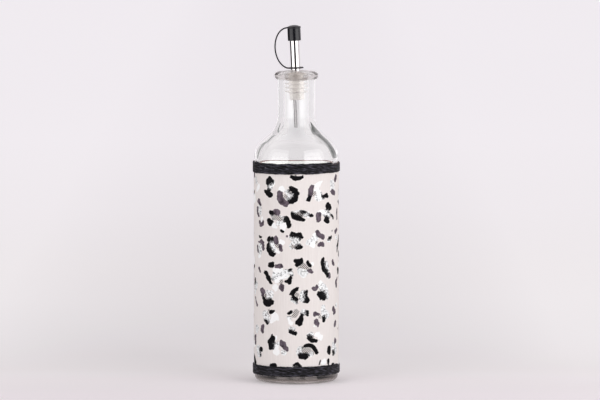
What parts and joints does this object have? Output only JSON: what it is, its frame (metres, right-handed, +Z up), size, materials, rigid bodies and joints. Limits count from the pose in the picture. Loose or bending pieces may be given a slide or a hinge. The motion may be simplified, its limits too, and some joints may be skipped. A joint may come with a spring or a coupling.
{
  "type": "oil and vinegar bottle",
  "caption": "Tall glass oil bottle in a printed fabric sleeve with twine-wound edges and a push-in pourer with a tethered dust cap.",
  "frame": {"origin": "centre of the bottle's foot, on the surface it stands on", "axes": "+Z up along the bottle's axis, +X to the right with the tether's loop on the left, +Y away from the viewer"},
  "size_m": [0.0692, 0.0692, 0.2785],
  "materials": {
    "clear_glass": "clear, polished",
    "printed_fabric": "cream woven cotton with a leopard print in black, plum grey and silver foil",
    "paper_twine": "black twisted paper twine, matt",
    "milky_plastic": "translucent, moulded",
    "polished_steel": "polished stainless steel",
    "clear_plastic": "clear, slightly brown",
    "black_rubber": "black, satin"
  },
  "bodies": {
    "bottle": {"glass_bottle": "clear_glass", "fabric_sleeve": "printed_fabric", "upper_twine_band": "paper_twine", "lower_twine_band": "paper_twine"},
    "pourer": {"stopper": "milky_plastic", "spout_tube": "polished_steel", "vent_tube": "clear_plastic"},
    "tether": {"tether_ring": "black_rubber", "cap_strap": "black_rubber"},
    "cap": {"dust_cap": "black_rubber"}
  },
  "joints": [
    {"name": "pourer_lift", "type": "slide", "parent": "bottle", "child": "pourer", "axis": [0, 0, 1], "range_m": [0, 0.05]},
    {"name": "tether_swivel", "type": "hinge", "parent": "pourer", "child": "tether", "pos_m": [0, 0, 0.23334], "axis": [-0.0436, 0, 0.999], "continuous": true},
    {"name": "cap_lift", "type": "slide", "parent": "tether", "child": "cap", "axis": [-0.0436, 0, 0.999], "range_m": [0, 0.01], "deforming": ["cap_strap"]}
  ]
}
